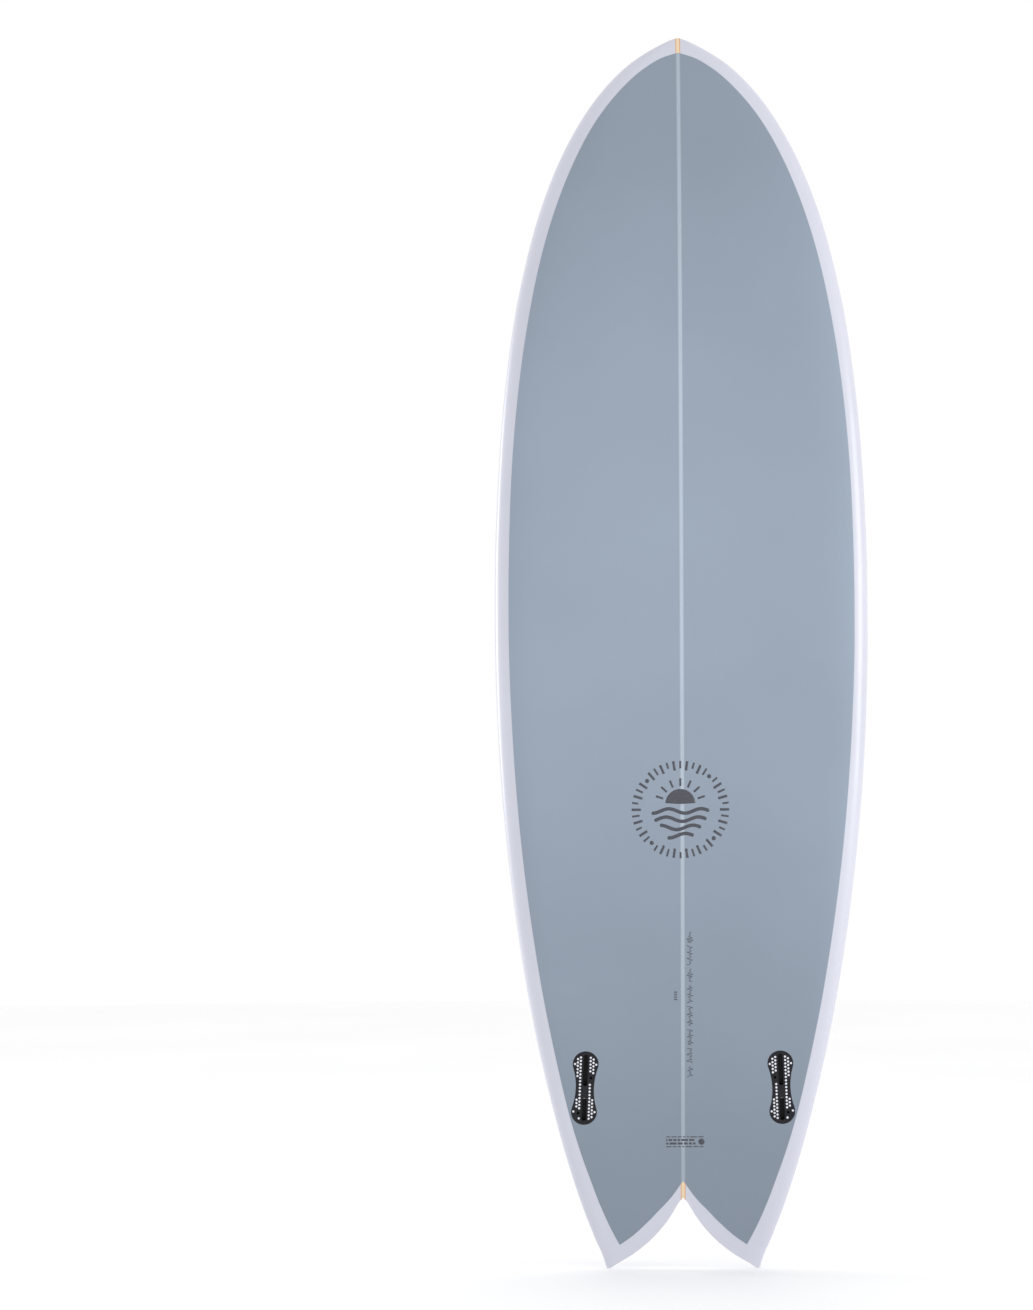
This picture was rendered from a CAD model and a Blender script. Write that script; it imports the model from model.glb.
import math

import bmesh
import bpy
import numpy as np
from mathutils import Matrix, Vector


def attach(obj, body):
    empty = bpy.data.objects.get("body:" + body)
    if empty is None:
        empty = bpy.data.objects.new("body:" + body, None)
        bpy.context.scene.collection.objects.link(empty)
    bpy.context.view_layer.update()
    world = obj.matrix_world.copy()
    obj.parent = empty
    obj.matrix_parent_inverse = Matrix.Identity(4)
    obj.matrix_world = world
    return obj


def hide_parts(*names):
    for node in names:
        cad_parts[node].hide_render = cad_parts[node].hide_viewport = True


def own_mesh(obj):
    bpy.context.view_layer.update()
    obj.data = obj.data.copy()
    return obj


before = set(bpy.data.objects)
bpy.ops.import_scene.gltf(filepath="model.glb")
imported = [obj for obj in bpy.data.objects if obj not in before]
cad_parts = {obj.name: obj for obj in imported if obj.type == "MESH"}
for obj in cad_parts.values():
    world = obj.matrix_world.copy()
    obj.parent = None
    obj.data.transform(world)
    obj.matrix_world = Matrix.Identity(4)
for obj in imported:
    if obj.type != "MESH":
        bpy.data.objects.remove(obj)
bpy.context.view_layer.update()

scene = bpy.context.scene

# ------------------------------------------------------------------ camera
# The bottom of the board seen square on, from about nine metres.
FRAME_HEIGHT = 1.911            # height of the picture at the board, metres
DIST = 9.0
cam_data = bpy.data.cameras.new("camera")
cam = bpy.data.objects.new("camera", cam_data)
scene.collection.objects.link(cam)
cam_data.sensor_fit = "VERTICAL"
cam_data.sensor_height = 24.0
cam_data.lens = 24.0 * DIST / FRAME_HEIGHT
cam_data.clip_end = 60.0
cam.location = (0.2405, DIST + 0.02, 0.8987)
cam.rotation_euler = (math.radians(90), math.radians(0.25), math.radians(180))
scene.camera = cam

# ------------------------------------------------------------------ hull form, millimetres
STATIONS = np.array([
    (0.0, 112.0, -28.7, -16.2, 1.0, 0.26, 0.86), (20.0, 118.6, -31.3, -13.4, 1.4, 0.27, 0.86),
    (40.0, 127.7, -32.9, -11.2, 1.8, 0.27, 0.86), (60.0, 135.8, -33.9, -9.1, 2.2, 0.28, 0.86),
    (80.0, 143.6, -34.4, -7.2, 2.5, 0.28, 0.86), (104.0, 152.2, -34.6, -5.1, 2.8, 0.29, 0.86),
    (140.0, 163.9, -34.3, -1.9, 3.2, 0.29, 0.86), (180.0, 175.8, -33.6, 2.2, 3.6, 0.30, 0.86),
    (230.0, 189.0, -32.5, 7.5, 3.9, 0.31, 0.85), (290.0, 203.4, -31.2, 13.2, 4.0, 0.32, 0.84),
    (360.0, 218.3, -29.9, 19.1, 3.9, 0.33, 0.83), (440.0, 232.4, -28.7, 25.3, 3.8, 0.34, 0.82),
    (530.0, 245.5, -27.5, 32.0, 3.7, 0.36, 0.81), (620.0, 255.9, -26.5, 38.0, 3.6, 0.37, 0.80),
    (720.0, 264.5, -25.5, 42.8, 3.5, 0.38, 0.79), (820.0, 269.7, -24.6, 45.7, 3.4, 0.39, 0.78),
    (920.0, 272.0, -23.6, 47.2, 3.3, 0.40, 0.77), (1020.0, 271.6, -22.5, 47.2, 3.1, 0.40, 0.76),
    (1120.0, 268.2, -21.6, 45.9, 2.8, 0.41, 0.75), (1220.0, 262.0, -21.3, 43.3, 2.4, 0.41, 0.74),
    (1310.0, 252.9, -21.7, 39.5, 1.9, 0.42, 0.72), (1390.0, 241.4, -22.7, 34.7, 1.4, 0.42, 0.70),
    (1460.0, 227.1, -24.3, 29.1, 0.9, 0.43, 0.68), (1525.0, 210.3, -26.6, 22.5, 0.5, 0.43, 0.66),
    (1580.0, 191.7, -29.4, 15.5, 0.2, 0.44, 0.64), (1630.0, 170.4, -32.8, 7.6, 0.0, 0.44, 0.62),
    (1670.0, 149.2, -36.3, -0.2, 0.0, 0.45, 0.60), (1700.0, 130.2, -39.2, -6.6, 0.0, 0.45, 0.58),
    (1725.0, 111.1, -41.9, -12.3, 0.0, 0.45, 0.57), (1745.0, 93.0, -44.0, -17.1, 0.0, 0.46, 0.56),
    (1762.0, 74.7, -45.7, -21.8, 0.0, 0.46, 0.56), (1776.0, 55.8, -46.9, -26.6, 0.0, 0.46, 0.55),
    (1787.0, 37.8, -47.2, -30.9, 0.0, 0.46, 0.55), (1795.0, 22.9, -46.5, -34.7, 0.0, 0.46, 0.55),
    (1800.0, 12.4, -45.1, -37.7, 0.0, 0.46, 0.55), (1803.4, 2.6, -43.3, -40.3, 0.0, 0.46, 0.55),
])
NOTCH_DEPTH = 103.6
NOTCH = np.array([
    (NOTCH_DEPTH, 0.0), (95.6, 7.0), (88.3, 11.2), (81.0, 15.6), (73.7, 20.3), (66.4, 25.4),
    (59.1, 31.2), (51.8, 37.6), (44.5, 44.6), (37.2, 52.4), (29.9, 61.2), (22.6, 71.0),
    (15.3, 82.0), (8.0, 94.6), (0.0, 107.0)])[::-1]
PANEL = np.array([
    (34.6, 93.2), (46.0, 99.5), (60.6, 107.0), (82.5, 117.0), (104.4, 126.0), (133.0, 136.5), (162.8, 147.2),
    (221.1, 164.9), (279.5, 179.0), (337.9, 191.6), (396.3, 203.0), (454.7, 212.8), (513.1, 221.4),
    (571.5, 229.0), (629.8, 235.4), (688.2, 240.6), (746.6, 244.8), (805.0, 248.0), (863.4, 250.4),
    (921.8, 251.7), (980.2, 251.8), (1038.5, 251.0), (1096.9, 249.5), (1155.3, 247.0),
    (1213.7, 243.0), (1272.1, 237.4), (1330.5, 230.2), (1388.9, 220.9), (1447.2, 209.5),
    (1505.6, 194.9), (1564.0, 176.0), (1622.4, 151.8), (1680.8, 119.9), (1739.2, 71.4),
    (1762.5, 42.4), (1774.2, 21.5), (1781.0, 0.0)])
PANEL_NOTCH = np.array([
    (34.6, 92.6), (46.0, 76.5), (54.7, 66.0), (63.5, 56.6), (72.3, 47.5), (81.0, 39.4), (89.8, 30.8),
    (98.5, 22.4), (107.3, 15.0), (116.0, 8.8), (124.8, 2.6), (128.0, 0.0)])


def hermite(xs, ys, q):
    """Smooth curve through a table, monotone where the table is."""
    h = np.diff(xs)
    d = np.diff(ys) / h
    m = np.empty_like(ys)
    m[1:-1] = np.where(d[:-1] * d[1:] > 0,
                       (h[:-1] + h[1:]) * 3 / ((2 * h[1:] + h[:-1]) / np.where(d[:-1] == 0, 1e-9, d[:-1])
                                               + (h[1:] + 2 * h[:-1]) / np.where(d[1:] == 0, 1e-9, d[1:])), 0)
    m[0], m[-1] = d[0], d[-1]
    k = np.clip(np.searchsorted(xs, q, side="right") - 1, 0, len(xs) - 2)
    t = (q - xs[k]) / h[k]
    t2, t3 = t * t, t * t * t
    return ((2 * t3 - 3 * t2 + 1) * ys[k] + (t3 - 2 * t2 + t) * h[k] * m[k]
            + (-2 * t3 + 3 * t2) * ys[k + 1] + (t3 - t2) * h[k] * m[k + 1])


def station(z, inset=0.0):
    row = [float(hermite(STATIONS[:, 0], STATIONS[:, i], z)) for i in range(1, 7)]
    if inset:
        slope = (float(hermite(STATIONS[:, 0], STATIONS[:, 1], min(z + 3, 1803.4)))
                 - float(hermite(STATIONS[:, 0], STATIONS[:, 1], max(z - 3, 0)))) / 6
        row[0] -= min(inset * math.sqrt(1 + slope * slope), 4.5 * inset)
        row[1] += inset
        row[2] -= inset
    return row


def bez(p, t):
    m = 1 - t
    b = np.stack([m ** 3, 3 * m * m * t, 3 * m * t * t, t ** 3], axis=1)
    return b @ np.array(p, dtype=float)


T = np.linspace(0, 1, 90)


def section(z, inset=0.0):
    """Dense deck curve (centre to rail) and bottom curve (rail to centre)."""
    w, deck, rail, conc, share, edge = station(z, inset)
    apex = rail - share * (rail - deck)
    rise, drop, e, mid = apex - deck, rail - apex, edge * w, rail - conc
    d = bez([(0, deck), (0.70 * w, deck), (w, apex - 0.62 * rise), (w, apex)], T)
    r = bez([(w, apex), (w, apex + 0.60 * drop), (e + 0.62 * (w - e), rail), (e, rail)], T)
    c = bez([(e, rail), (0.68 * e, rail), (0.38 * e, mid), (0, mid)], T)
    return d, np.vstack([r, c[1:]])


_nz = np.linspace(0, NOTCH_DEPTH, 240)
_nx = hermite(NOTCH[:, 0], NOTCH[:, 1], _nz)
NOTCH_LINE = np.stack([_nx, _nz], axis=1)
ROLL = 30.0


def notch_gap(z):
    return float(hermite(NOTCH[:, 0], NOTCH[:, 1], z)) if z < NOTCH_DEPTH else 0.0


def rolled(xs, z, deck_y, bottom_y, inset=0.0):
    """The deck rolls down to a thin edge along the notch."""
    if z > NOTCH_DEPTH + ROLL + 2:
        return deck_y
    dx = xs[:, None] - NOTCH_LINE[None, :, 0]
    dz = z - NOTCH_LINE[None, :, 1]
    dist = np.sqrt(dx * dx + dz * dz).min(axis=1) - inset
    q = np.clip(dist / ROLL, 0, 1)
    f = 0.15 + 0.85 * np.sqrt(np.clip(1 - (1 - q) ** 2, 0, 1))
    return bottom_y - (bottom_y - deck_y) * f


def bottom_y(xs, z, inset=0.0):
    _, b = section(z, inset)
    return np.interp(xs, b[::-1, 0], b[::-1, 1])


def deck_y(xs, z):
    d, b = section(z)
    y = np.interp(xs, d[:, 0], d[:, 1])
    return rolled(np.asarray(xs, float), z, y, np.interp(xs, b[::-1, 0], b[::-1, 1]))


ROWS = np.unique(np.round(np.concatenate([
    np.arange(0, 103, 2.6), [NOTCH_DEPTH], np.arange(106, 150, 2.6), np.arange(150, 1700, 7.0),
    np.arange(1700, 1780, 3.5), np.arange(1780, 1803.4, 1.4), [1803.4]]), 3))
ND, NB = 50, 44


def ring(z, inset, xmin, xmax=None):
    """Open chain of one half section: deck from the centre out, then bottom from the rail back."""
    d, b = section(z, inset)
    gap = notch_gap(z)
    x0 = max(xmin, gap + (inset * 1.3 if gap > 0 or (inset and z < NOTCH_DEPTH + 2) else 0.0))
    w = d[-1, 0]
    x0 = min(x0, w - 0.4)
    t0 = np.interp(x0, d[:, 0], T)
    lead = 0.35 if z < 150 else 0.0
    s = np.linspace(0, 1, ND)
    s = (1 - lead) * s + lead * s * s * s
    tt = t0 + (1 - t0) * s
    dx, dy = np.interp(tt, T, d[:, 0]), np.interp(tt, T, d[:, 1])
    if xmax is not None:
        dx = np.linspace(x0, xmax, ND)
        dy = np.interp(dx, d[:, 0], d[:, 1])
        bx = np.linspace(xmax, x0, NB)
        by = np.interp(bx, b[::-1, 0], b[::-1, 1])
    else:
        cum = np.concatenate([[0], np.cumsum(np.hypot(*np.diff(b, axis=0).T))])
        end = np.interp(-x0, -b[:, 0], cum)
        s = np.linspace(0, 1, NB)
        pos = end * (0.45 * s + 0.55 * s * s)
        bx, by = np.interp(pos, cum, b[:, 0]), np.interp(pos, cum, b[:, 1])
        bx[-1] = x0
    dy = rolled(dx, z, dy, np.interp(dx, b[::-1, 0], b[::-1, 1]), inset)
    pts = [(x, y) for x, y in zip(dx, dy)]
    tail = [(x, y) for x, y in zip(bx, by)]
    if xmax is None:
        tail = tail[1:]
    return pts + tail


def new_object(name, verts, faces):
    me = bpy.data.meshes.new(name)
    me.from_pydata([tuple(c / 1000 for c in v) for v in verts], [], faces)
    me.validate()
    ob = bpy.data.objects.new(name, me)
    scene.collection.objects.link(ob)
    return ob


def tidy(ob, angle=38.0, merge=2e-6):
    bm = bmesh.new()
    bm.from_mesh(ob.data)
    bmesh.ops.remove_doubles(bm, verts=bm.verts, dist=merge)
    bmesh.ops.dissolve_degenerate(bm, dist=1e-7, edges=bm.edges)
    bmesh.ops.recalc_face_normals(bm, faces=bm.faces)
    bm.to_mesh(ob.data)
    bm.free()
    for p in ob.data.polygons:
        p.use_smooth = True
    ob.data.set_sharp_from_angle(angle=math.radians(angle))
    ob.data.update()


def hull_half(rows, inset, xmin, xmax=None, closed=False):
    """Verts and faces of the right half. closed also walls the inner side at every row."""
    verts, faces, n = [], [], None
    for z in rows:
        chain = ring(z, inset, xmin, xmax)
        n = len(chain)
        verts += [(x, y, z) for x, y in chain]
    for k in range(len(rows) - 1):
        a, b = k * n, (k + 1) * n
        for i in range(n - 1):
            faces.append((a + i, a + i + 1, b + i + 1, b + i))
        if closed or rows[k] < NOTCH_DEPTH - 1e-3:
            faces.append((a + n - 1, a, b, b + n - 1))
    faces.append(tuple(range(n))[::-1])
    last = (len(rows) - 1) * n
    faces.append(tuple(range(last, last + n)))
    return verts, faces


def mirrored(verts, faces):
    m = len(verts)
    return (verts + [(-x, y, z) for x, y, z in verts],
            faces + [tuple(i + m for i in reversed(f)) for f in faces])


# ------------------------------------------------------------------ skin, core, stringer
skin = new_object("board_skin", *mirrored(*hull_half(ROWS, 0.0, 0.0)))
tidy(skin)

SKIN = 1.2
INNER = ROWS[(ROWS > 9.0) & (ROWS < 1795.0)][::2]
blank_r = new_object("foam_blank_right", *hull_half(INNER, SKIN, 3.2, closed=True))
v, f = hull_half(INNER, SKIN, 3.2, closed=True)
blank_l = new_object("foam_blank_left", [(-x, y, z) for x, y, z in v], [tuple(reversed(q)) for q in f])
MID = INNER[(INNER > NOTCH_DEPTH + 2) & (INNER < 1790)]


def strip(name, xa, xb):
    verts, faces = [], []
    for z in MID:
        d, b = section(z, SKIN)
        for x in (xa, xb):
            ax = np.array([abs(x)])
            by = float(np.interp(abs(x), b[::-1, 0], b[::-1, 1]))
            dy = float(rolled(ax, z, np.interp(ax, d[:, 0], d[:, 1]), np.array([by]), SKIN)[0])
            verts += [(x, dy, z), (x, by, z)]
    for k in range(len(MID) - 1):
        a, b = 4 * k, 4 * k + 4
        faces += [(a, a + 1, b + 1, b), (a + 3, a + 2, b + 2, b + 3), (a + 2, a, b, b + 2), (a + 1, a + 3, b + 3, b + 1)]
    faces += [(0, 2, 3, 1), (4 * len(MID) - 4, 4 * len(MID) - 3, 4 * len(MID) - 1, 4 * len(MID) - 2)]
    return new_object(name, verts, faces)


stringer = strip("timber_stringer", -2.4, 2.4)
glue_r = strip("glue_line_right", 2.4, 3.2)
glue_l = strip("glue_line_left", -3.2, -2.4)
for ob in (blank_r, blank_l, stringer, glue_r, glue_l):
    tidy(ob)

# ------------------------------------------------------------------ tinted bottom laminate
PROUD = 0.18
prow = np.unique(np.round(np.concatenate([
    [34.8], np.arange(36, 150, 2.4), [128.0], np.arange(150, 1700, 7.0), np.arange(1700, 1781, 3.0), [1780.6]]), 3))
NP = 46


def panel_half():
    verts, faces = [], []
    for z in prow:
        out = max(float(hermite(PANEL[:, 0], PANEL[:, 1], z)), 0.35)
        inn = float(hermite(PANEL_NOTCH[:, 0], PANEL_NOTCH[:, 1], z)) if z < 128.0 else 0.0
        s = np.linspace(0, 1, NP)
        xs = inn + (out - inn) * (1 - (1 - s) ** 1.5)
        ys = bottom_y(xs, z)
        verts += [(x, y + PROUD, z) for x, y in zip(xs, ys)]
        verts += [(x, y - 0.45, z) for x, y in zip(xs, ys)]
    n = 2 * NP
    for k in range(len(prow) - 1):
        a, b = k * n, (k + 1) * n
        for i in range(NP - 1):
            faces.append((a + i, b + i, b + i + 1, a + i + 1))
            faces.append((a + NP + i, a + NP + i + 1, b + NP + i + 1, b + NP + i))
        faces.append((a + NP - 1, b + NP - 1, b + n - 1, a + n - 1))
        if prow[k] < 128.0 - 1e-3:
            faces.append((a, a + NP, b + NP, b))
    last = (len(prow) - 1) * n
    for i in range(NP - 1):
        faces.append((i, i + 1, NP + i + 1, NP + i))
        faces.append((last + i, last + NP + i, last + NP + i + 1, last + i + 1))
    return verts, faces


panel = new_object("tinted_bottom_laminate", *mirrored(*panel_half()))
tidy(panel)

# ------------------------------------------------------------------ pockets for the hardware
O = np.array([143.5, 10.589, 265.8])
EX, EY, EN = (np.array(a) for a in ((-0.040193, 0.089779, 0.99515), (0.999025, 0.021841, 0.038379), (-0.018289, 0.995722, -0.090569)))
LO = np.array([88.0, -31.1454, 68.6])
LX, LY, LN = (np.array(a) for a in ((0.003205, -0.035751, 0.999356), (-0.996005, -0.089297, 0.0), (0.08924, -0.995363, -0.035895)))


def dumbbell(grow):
    r, half, waist, wr = 18.8 + grow, 54.2, 13.25, 96.9 - grow
    lobe = half - 18.8
    ay = waist + 96.9
    start = math.atan2(ay, -lobe)
    pts = []
    for s in np.linspace(-start, start, 40):
        pts.append((lobe + r * math.cos(s), r * math.sin(s)))
    a0 = math.atan2(-ay, lobe)
    for s in np.linspace(a0, -math.pi - a0, 22)[1:-1]:
        pts.append((wr * math.cos(s), ay + wr * math.sin(s)))
    for s in np.linspace(math.pi - start, math.pi + start, 40):
        pts.append((-lobe + r * math.cos(s), r * math.sin(s)))
    for s in np.linspace(math.pi + a0, -a0, 22)[1:-1]:
        pts.append((wr * math.cos(s), -ay + wr * math.sin(s)))
    return pts


def prism(name, outline, org, ex, ey, en, top, low, flip=1):
    m = len(outline)
    verts = []
    for h in (top, low):
        for u, w in outline:
            p = org + ex * u + ey * w + en * h
            verts.append((flip * p[0], p[1], p[2]))
    faces = [tuple(range(m)), tuple(range(2 * m - 1, m - 1, -1))]
    faces += [(i, i + m, (i + 1) % m + m, (i + 1) % m) for i in range(m)]
    ob = new_object(name, verts, faces)
    bm = bmesh.new()
    bm.from_mesh(ob.data)
    bmesh.ops.recalc_face_normals(bm, faces=bm.faces)
    bm.to_mesh(ob.data)
    bm.free()
    return ob


def carve(target, cutter):
    mod = target.modifiers.new("pocket", "BOOLEAN")
    mod.operation = "DIFFERENCE"
    mod.solver = "EXACT"
    mod.object = cutter
    deps = bpy.context.evaluated_depsgraph_get()
    me = bpy.data.meshes.new_from_object(target.evaluated_get(deps))
    target.modifiers.clear()
    old = target.data
    target.data = me
    me.name = old.name
    bpy.data.meshes.remove(old)
    for p in me.polygons:
        p.use_smooth = True
    me.set_sharp_from_angle(angle=math.radians(38))


circle = [(15.06 * math.cos(a), 15.06 * math.sin(a)) for a in np.linspace(0, 2 * math.pi, 73)[:-1]]
cut_r = prism("cut_r", dumbbell(0.05), O, EX, EY, EN, 5, -20.1)
cut_l = prism("cut_l", dumbbell(0.05), O, EX, EY, EN, 5, -20.1, flip=-1)
cut_c = prism("cut_c", circle, LO, LX, LY, LN, 5, -18.3)
for target, cutters in ((skin, (cut_r, cut_l, cut_c)), (panel, (cut_r, cut_l)), (blank_r, (cut_r, cut_c)), (blank_l, (cut_l,))):
    for c in cutters:
        carve(target, c)
for c in (cut_r, cut_l, cut_c):
    bpy.data.objects.remove(c, do_unlink=True)

# ------------------------------------------------------------------ prints under the glaze
class Print:
    """A flat motif, drawn in small cells so that it can lie on the hull."""

    def __init__(self, cx, cz, side):
        self.cx, self.cz, self.side, self.v, self.f = cx, cz, side, [], []

    def grid(self, fn, nu, nv):
        base = len(self.v)
        for i in range(nu + 1):
            for j in range(nv + 1):
                self.v.append(fn(i / nu, j / nv))
        for i in range(nu):
            for j in range(nv):
                a = base + i * (nv + 1) + j
                self.f.append((a, a + 1, a + nv + 2, a + nv + 1))

    def bar(self, x, z, w, h, turn=0.0):
        c, s = math.cos(turn), math.sin(turn)
        nu, nv = max(2, int(w / 3)), max(2, int(h / 3))

        def fn(p, q):
            a, b = (p - 0.5) * w, (q - 0.5) * h
            return x + a * c - b * s, z + a * s + b * c
        self.grid(fn, nu, nv)

    def arc(self, x, z, r0, r1, a0, a1, squash=1.0):
        nv = max(2, int(abs(a1 - a0) * r1 / 2.5))
        self.grid(lambda p, q: (x + (r0 + (r1 - r0) * p) * math.cos(a0 + (a1 - a0) * q) * squash,
                                z + (r0 + (r1 - r0) * p) * math.sin(a0 + (a1 - a0) * q)), max(1, int((r1 - r0) / 3)), nv)

    def stroke(self, pts, width):
        pts = np.array(pts, float)
        tan = np.gradient(pts, axis=0)
        tan /= np.maximum(np.hypot(tan[:, 0], tan[:, 1]), 1e-6)[:, None]
        nor = np.stack([-tan[:, 1], tan[:, 0]], axis=1)
        w = np.full(len(pts), width / 2.0)
        w[0] *= 0.35
        w[-1] *= 0.35
        base = len(self.v)
        for p, n_, h in zip(pts, nor, w):
            self.v += [tuple(p - n_ * h), tuple(p + n_ * h)]
        for i in range(len(pts) - 1):
            a = base + 2 * i
            self.f.append((a, a + 1, a + 3, a + 2))

    def build(self, name, lift):
        verts = []
        for x, z in self.v:
            x, z = x + self.cx, z + self.cz
            if self.side > 0:
                y = float(bottom_y(np.array([abs(x)]), z)[0]) + lift
            else:
                y = float(deck_y(np.array([abs(x)]), z)[0]) - lift
            verts.append((x, y, z))
        ob = new_object(name, verts, self.f)
        bm = bmesh.new()
        bm.from_mesh(ob.data)
        for face in bm.faces:
            face.normal_update()
            if face.normal.y * self.side < 0:
                face.normal_flip()
            face.smooth = True
        bm.to_mesh(ob.data)
        bm.free()
        mod = ob.modifiers.new("film", "SOLIDIFY")
        mod.thickness = 0.00006
        mod.offset = 1.0
        return ob


# deck motif over the stringer: rounded blocks, then one running wave
deck_mark = Print(2.5, 1182, -1)
zz = 122.0
for k, (wd, hh) in enumerate([(33, 9), (22, 6), (29, 6), (20, 6), (31, 9), (22, 6), (27, 6), (33, 9)]):
    zz -= hh / 2 + 3.0
    deck_mark.bar((-3 if k % 2 else 1), zz, wd, hh)
    zz -= hh / 2 + 3.0
u = np.linspace(0, 1, 150)
deck_mark.stroke([(15 * math.sin(a * 2 * math.pi * 4.5), 4 - a * 126) for a in u], 5.4)
deck_mark.bar(0, -127, 6, 6)
deck_mark = deck_mark.build("print_deck_motif", 0.06)

# small badge near the right-hand rail
badge = Print(207.5, 593, -1)
for a0, a1, cx_, cz_ in ((0, math.pi, 0, 22), (math.pi, 2 * math.pi, 0, -22)):
    badge.arc(cx_, cz_, 14.6, 18.0, a0, a1)
badge.bar(-16.3, 0, 3.4, 44)
badge.bar(16.3, 0, 3.4, 44)
for zc in (-20, -10, 0, 10, 20):
    badge.stroke([(-11 + 22 * a, zc + 2.6 * math.sin(a * 2 * math.pi * 1.5)) for a in np.linspace(0, 1, 26)], 4.2)
badge.bar(0, -43.5, 22, 3.2)
badge.bar(0, 43.5, 22, 3.2)
badge = badge.build("print_rail_badge", 0.06)

# roundel on the bottom: ring of ticks, sun and waves
ring_mark = Print(2.8, 672.6, 1)
for k in range(44):
    a = 2 * math.pi * k / 44
    if k % 11 == 5:
        continue
    long_ = (13.5, 9.0, 13.5, 11.0)[k % 4]
    r = 71.0 - long_ / 2
    ring_mark.bar(r * math.cos(a), r * math.sin(a), long_, (3.6, 2.8)[k % 2], a)
for k in range(4):
    a = 2 * math.pi * (k * 11 + 5) / 44
    ring_mark.arc(64 * math.cos(a), 64 * math.sin(a), 0.2, 3.2, 0, 2 * math.pi)
ring_mark.arc(0, 8, 0.4, 22, math.radians(4), math.radians(176))
for k in range(7):
    a = math.radians(18 + 24 * k)
    ring_mark.bar(32 * math.cos(a), 8 + 32 * math.sin(a), 11, 3.0, a)
for zc, wd in ((-2, 84), (-14, 76), (-26, 60), (-38, 38)):
    ring_mark.stroke([(wd * (a - 0.5), zc + 3.2 * math.sin(a * wd / 7.5)) for a in np.linspace(0, 1, 60)], 5.0)
ring_mark = ring_mark.build("print_bottom_roundel", PROUD + 0.05)

# pencil note beside the stringer: a running scribble with gaps, not writing
rng = np.random.default_rng(11)
note = Print(-10.5, 388, 1)
z0 = 106.0
while z0 > -96:
    run = float(rng.uniform(14, 30))
    n_ = int(run * 3)
    ph, k1, k2 = rng.uniform(0, 6.28), rng.uniform(1.3, 1.9), rng.uniform(0.4, 0.7)
    pts = []
    for i in range(n_ + 1):
        d_ = run * i / n_
        amp = 2.6 + 2.2 * math.sin(k2 * d_ + ph)
        pts.append((amp * math.sin(k1 * d_ + ph), z0 - d_ - 0.5 * math.cos(2 * k1 * d_)))
    note.stroke(pts, 0.9)
    z0 -= run + float(rng.uniform(3.5, 6.0))
for k in range(4):
    note.bar(21.0, 7 + 3.6 * k, 4.6, 1.8)
note = note.build("print_pencil_note", PROUD + 0.05)

# small care panel by the tail: rows of plain dashes
care = Print(-2.9, 186.0, 1)
for row, zc in enumerate((7.2, 2.6, -2.6, -7.2)):
    x0 = -27.0
    k = 0
    while x0 < 26:
        wd = (7.5, 4.5, 10.0, 5.5, 3.5)[(k * 2 + row) % 5]
        wd = min(wd, 27.5 - x0)
        if wd > 1.5 and not (row in (1, 2) and x0 < -20):
            care.bar(x0 + wd / 2, zc, wd, 1.3 if row in (0, 3) else 2.9)
        x0 += wd + 1.7
        k += 1
care.arc(-24.0, 0, 0.3, 4.6, 0, 2 * math.pi)
care = care.build("print_care_dashes", PROUD + 0.05)

# ------------------------------------------------------------------ materials
def srgb(r, g, b):
    out = []
    for c in (r, g, b):
        c /= 255.0
        out.append(c / 12.92 if c <= 0.04045 else ((c + 0.055) / 1.055) ** 2.4)
    return (*out, 1.0)


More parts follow.
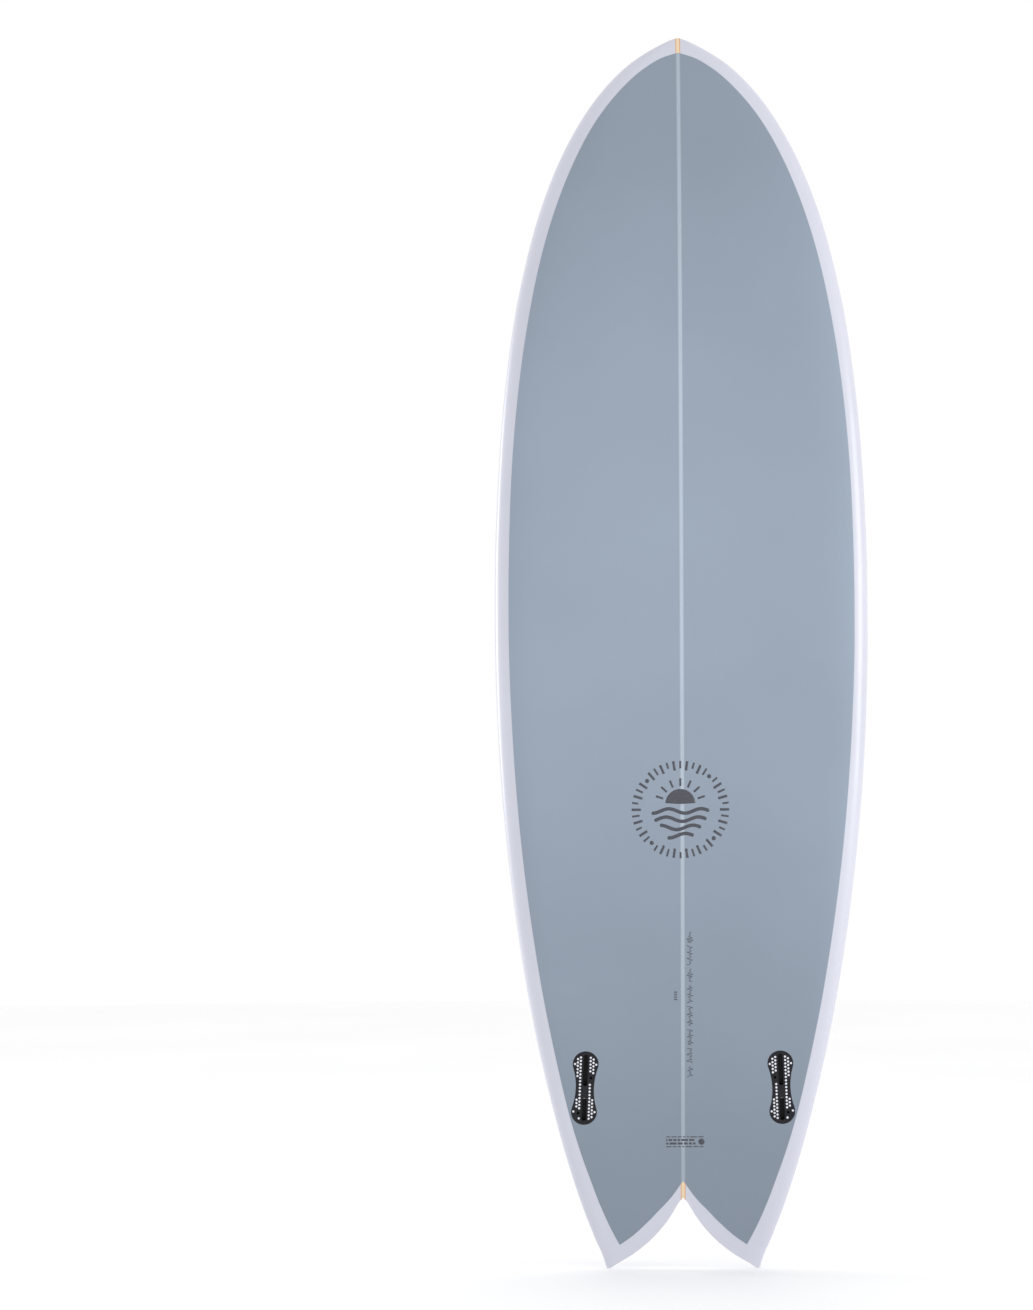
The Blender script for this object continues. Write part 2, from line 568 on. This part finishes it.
class Mat:
    def __init__(self, name):
        self.m = bpy.data.materials.new(name)
        self.m.use_nodes = True
        self.t = self.m.node_tree
        self.b = self.t.nodes["Principled BSDF"]
        self.co = self.t.nodes.new("ShaderNodeTexCoord").outputs["Object"]

    def link(self, a, b):
        self.t.links.new(a, b)

    def noise(self, scale, detail=3.0, stretch=None):
        co = self.co
        if stretch:
            mp = self.t.nodes.new("ShaderNodeMapping")
            mp.inputs["Scale"].default_value = stretch
            self.link(co, mp.inputs["Vector"])
            co = mp.outputs["Vector"]
        n = self.t.nodes.new("ShaderNodeTexNoise")
        n.inputs["Scale"].default_value = scale
        n.inputs["Detail"].default_value = detail
        self.link(co, n.inputs["Vector"])
        return n.outputs["Fac"]

    def ramp(self, fac, stops, interp="LINEAR"):
        r = self.t.nodes.new("ShaderNodeValToRGB")
        r.color_ramp.interpolation = interp
        e = r.color_ramp.elements
        e[0].position, e[0].color = stops[0]
        e[1].position, e[1].color = stops[-1]
        for pos, col in stops[1:-1]:
            k = e.new(pos)
            k.color = col
        self.link(fac, r.inputs["Fac"])
        return r.outputs["Color"]

    def mix(self, fac, a, b, mode="MIX"):
        n = self.t.nodes.new("ShaderNodeMix")
        n.data_type = "RGBA"
        n.blend_type = mode
        for sock, val in ((n.inputs[0], fac), (n.inputs[6], a), (n.inputs[7], b)):
            if hasattr(val, "is_linked"):
                self.link(val, sock)
            else:
                sock.default_value = val
        return n.outputs[2]

    def math(self, op, a, b=None):
        n = self.t.nodes.new("ShaderNodeMath")
        n.operation = op
        for sock, val in ((n.inputs[0], a), (n.inputs[1], b)):
            if val is None:
                continue
            if hasattr(val, "is_linked"):
                self.link(val, sock)
            else:
                sock.default_value = val
        return n.outputs[0]

    def xyz(self):
        s = self.t.nodes.new("ShaderNodeSeparateXYZ")
        self.link(self.co, s.inputs[0])
        return s.outputs

    def weave(self, pitch):
        """Height of a plain cloth weave in the board's plane."""
        s = self.xyz()
        k = 2 * math.pi / pitch
        a = self.math("SINE", self.math("MULTIPLY", s[0], k))
        b = self.math("SINE", self.math("MULTIPLY", s[2], k))
        return self.math("MULTIPLY", a, b)

    def bump(self, height, strength, distance):
        n = self.t.nodes.new("ShaderNodeBump")
        n.inputs["Strength"].default_value = strength
        n.inputs["Distance"].default_value = distance
        self.link(height, n.inputs["Height"])
        self.link(n.outputs["Normal"], self.b.inputs["Normal"])

    def rough(self, fac, lo, hi):
        n = self.t.nodes.new("ShaderNodeMapRange")
        n.inputs["To Min"].default_value = lo
        n.inputs["To Max"].default_value = hi
        self.link(fac, n.inputs["Value"])
        self.link(n.outputs["Result"], self.b.inputs["Roughness"])


def laminate(name, base, low, line, edge_line, coat):
    m = Mat(name)
    s = m.xyz()
    cloud = m.noise(3.2, 4.0)
    col = m.ramp(cloud, [(0.32, low), (0.68, base)])
    fine = m.noise(420.0, 2.0)
    col = m.mix(0.10, col, m.ramp(fine, [(0.3, low), (0.7, base)]), "MIX")
    ax = m.math("ABSOLUTE", s[0])
    grain = m.ramp(m.noise(60.0, 4.0, (40.0, 1.0, 1.5)), [(0.35, line[0]), (0.65, line[1])])
    on_timber = m.math("LESS_THAN", ax, 0.0024)
    on_glue = m.math("MULTIPLY", m.math("LESS_THAN", ax, 0.0034), m.math("GREATER_THAN", ax, 0.0024))
    col = m.mix(on_timber, col, grain)
    col = m.mix(on_glue, col, edge_line)
    m.link(col, m.b.inputs["Base Color"])
    m.rough(m.noise(35.0, 3.0), 0.30, 0.42)
    m.b.inputs["Coat Weight"].default_value = coat
    m.b.inputs["Coat Roughness"].default_value = 0.22
    m.b.inputs["IOR"].default_value = 1.5
    m.bump(m.weave(0.0022), 0.10, 0.00008)
    return m.m


mat_skin = laminate("deck_glass", srgb(203, 205, 217), srgb(197, 199, 211),
                    (srgb(232, 212, 180), srgb(222, 196, 160)), srgb(214, 140, 70), 0.35)
mat_panel = laminate("bottom_glass", srgb(150, 164, 181), srgb(145, 158, 175),
                     (srgb(184, 199, 214), srgb(175, 190, 206)), srgb(160, 170, 180), 0.3)

# the tint deepens slightly towards the tail
t = mat_panel.node_tree
bs = t.nodes["Principled BSDF"]
src = bs.inputs["Base Color"].links[0].from_socket
sep = t.nodes.new("ShaderNodeSeparateXYZ")
tc = t.nodes.new("ShaderNodeTexCoord")
t.links.new(tc.outputs["Object"], sep.inputs[0])
mr = t.nodes.new("ShaderNodeMapRange")
mr.inputs["From Min"].default_value = 0.0
mr.inputs["From Max"].default_value = 1.8
t.links.new(sep.outputs[2], mr.inputs["Value"])
cr = t.nodes.new("ShaderNodeValToRGB")
for pos, val in ((0.10, 0.69), (0.24, 0.80), (0.50, 0.94), (0.72, 0.92), (0.92, 0.77)):
    e = cr.color_ramp.elements.new(pos)
    e.color = (val, val, val, 1.0)
cr.color_ramp.elements.remove(cr.color_ramp.elements[0])
cr.color_ramp.elements.remove(cr.color_ramp.elements[-1])
t.links.new(mr.outputs["Result"], cr.inputs["Fac"])
mu = t.nodes.new("ShaderNodeVectorMath")
mu.operation = "SCALE"
t.links.new(src, mu.inputs[0])
t.links.new(cr.outputs["Color"], mu.inputs["Scale"])
t.links.new(mu.outputs[0], bs.inputs["Base Color"])


def simple(name, a, b, scale, r0, r1, bump=0.2, dist=0.0001, metal=0.0, stretch=None, coat=0.0):
    m = Mat(name)
    nz = m.noise(scale, 4.0, stretch)
    m.link(m.ramp(nz, [(0.3, a), (0.7, b)]), m.b.inputs["Base Color"])
    m.rough(nz, r0, r1)
    m.b.inputs["Metallic"].default_value = metal
    if coat:
        m.b.inputs["Coat Weight"].default_value = coat
    m.bump(nz, bump, dist)
    return m.m


mat_nylon = simple("plug_nylon", srgb(14, 14, 20), srgb(24, 24, 32), 900.0, 0.42, 0.56, 0.25, 0.00005)
mat_nylon.node_tree.nodes["Principled BSDF"].inputs["Specular IOR Level"].default_value = 0.3
mat_cell = simple("cell_resin", srgb(214, 217, 228), srgb(236, 238, 244), 260.0, 0.25, 0.4, 0.2, 0.0001, coat=0.3)
mat_foam = simple("foam", srgb(238, 238, 235), srgb(246, 246, 243), 700.0, 0.8, 0.95, 0.4, 0.0001)
mat_base = simple("base_foam", srgb(228, 229, 230), srgb(240, 240, 240), 900.0, 0.7, 0.9, 0.4, 0.0001)
mat_wood = simple("timber", srgb(216, 184, 138), srgb(196, 158, 110), 30.0, 0.55, 0.7, 0.3, 0.0001, stretch=(40, 1, 1.5))
mat_glue = simple("glue", srgb(214, 140, 70), srgb(196, 118, 52), 120.0, 0.4, 0.55)
mat_ti = simple("titanium", srgb(150, 150, 156), srgb(180, 180, 186), 300.0, 0.25, 0.38, 0.15, 0.00003, metal=1.0, stretch=(1, 30, 30))
mat_steel = simple("stainless", srgb(168, 170, 166), srgb(200, 200, 198), 300.0, 0.22, 0.34, 0.15, 0.00003, metal=1.0, stretch=(1, 30, 30))
mat_red = simple("elastomer", srgb(140, 22, 30), srgb(120, 16, 24), 400.0, 0.5, 0.65)
mat_ink = simple("print_ink", srgb(58, 60, 70), srgb(74, 76, 86), 500.0, 0.32, 0.45, 0.15, 0.00003, coat=0.2)
mat_pencil = simple("pencil", srgb(66, 70, 82), srgb(92, 98, 110), 900.0, 0.4, 0.55)


def wear(ob, mat):
    ob.data.materials.clear()
    ob.data.materials.append(mat)


wear(skin, mat_skin)
wear(panel, mat_panel)
wear(blank_r, mat_foam)
wear(blank_l, mat_foam)
wear(stringer, mat_wood)
wear(glue_r, mat_glue)
wear(glue_l, mat_glue)
for ob in (deck_mark, badge, ring_mark, care):
    wear(ob, mat_ink)
wear(note, mat_pencil)

node_mats = {
    "fin_plug_right": mat_nylon, "fin_plug_left": mat_nylon, "leash_cup": mat_nylon,
    "cell_resin_right": mat_cell, "cell_resin_left": mat_cell, "leash_bedding": mat_cell,
    "plug_base_right": mat_base, "plug_base_left": mat_base,
    "barrel_right": mat_ti, "barrel_left": mat_ti, "leash_bar": mat_steel,
    "spring_right": mat_red, "spring_left": mat_red,
}
for node, mat in node_mats.items():
    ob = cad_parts[node]
    for s in ob.material_slots:
        s.material = mat

# ------------------------------------------------------------------ elastomer blocks, which give as the barrels slide
def spring_block(side):
    node = "spring_" + side
    ob = bpy.data.objects.new("elastomer_block_" + side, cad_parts[node].data.copy())
    scene.collection.objects.link(ob)
    wear(ob, mat_red)
    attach(ob, "board")
    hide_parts(node)
    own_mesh(ob)


spring_block("right")
spring_block("left")

# ------------------------------------------------------------------ ride on the frame
for ob in (skin, panel, blank_r, blank_l, stringer, glue_r, glue_l, deck_mark, badge, ring_mark, note, care):
    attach(ob, "board")
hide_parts("deck_laminate")
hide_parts("bottom_laminate")
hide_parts("foam_right")
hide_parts("foam_left")
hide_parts("stringer")
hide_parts("glue_right")
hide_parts("glue_left")

# ------------------------------------------------------------------ floor and light
fl = bpy.data.meshes.new("floor")
m_ = 96
pts = [(7.0 * math.cos(2 * math.pi * k / m_), 7.0 * math.sin(2 * math.pi * k / m_), -0.0004) for k in range(m_)]
fl.from_pydata(pts, [], [tuple(range(m_))])
floor = bpy.data.objects.new("floor", fl)
scene.collection.objects.link(floor)
mf = Mat("floor_pale")
mf.link(mf.ramp(mf.noise(1.5, 2.0), [(0.3, srgb(250, 250, 251)), (0.7, srgb(253, 253, 253))]), mf.b.inputs["Base Color"])
mf.b.inputs["Roughness"].default_value = 0.7
floor.data.materials.append(mf.m)

world = bpy.data.worlds.new("studio")
world.use_nodes = True
world.node_tree.nodes["Background"].inputs["Color"].default_value = (1, 1, 1, 1)
world.node_tree.nodes["Background"].inputs["Strength"].default_value = 1.0
scene.world = world


def area(name, loc, target, size, power, colour=(1, 1, 1)):
    ld = bpy.data.lights.new(name, "AREA")
    ld.shape = "RECTANGLE"
    ld.size, ld.size_y = size
    ld.energy = power
    ld.color = colour
    lo = bpy.data.objects.new(name, ld)
    lo.location = loc
    lo.rotation_euler = (Vector(target) - Vector(loc)).to_track_quat("-Z", "Y").to_euler()
    lo.visible_camera = False
    scene.collection.objects.link(lo)


area("key_bottom", (-4.0, 1.6, 1.1), (0, 0, 0.9), (1.2, 1.8), 48)
area("key_deck", (4.0, -1.6, 1.1), (0, 0, 0.9), (1.2, 1.8), 48)

scene.view_settings.view_transform = "Standard"
scene.view_settings.look = "None"
scene.view_settings.exposure = 0.0

bpy.context.view_layer.update()
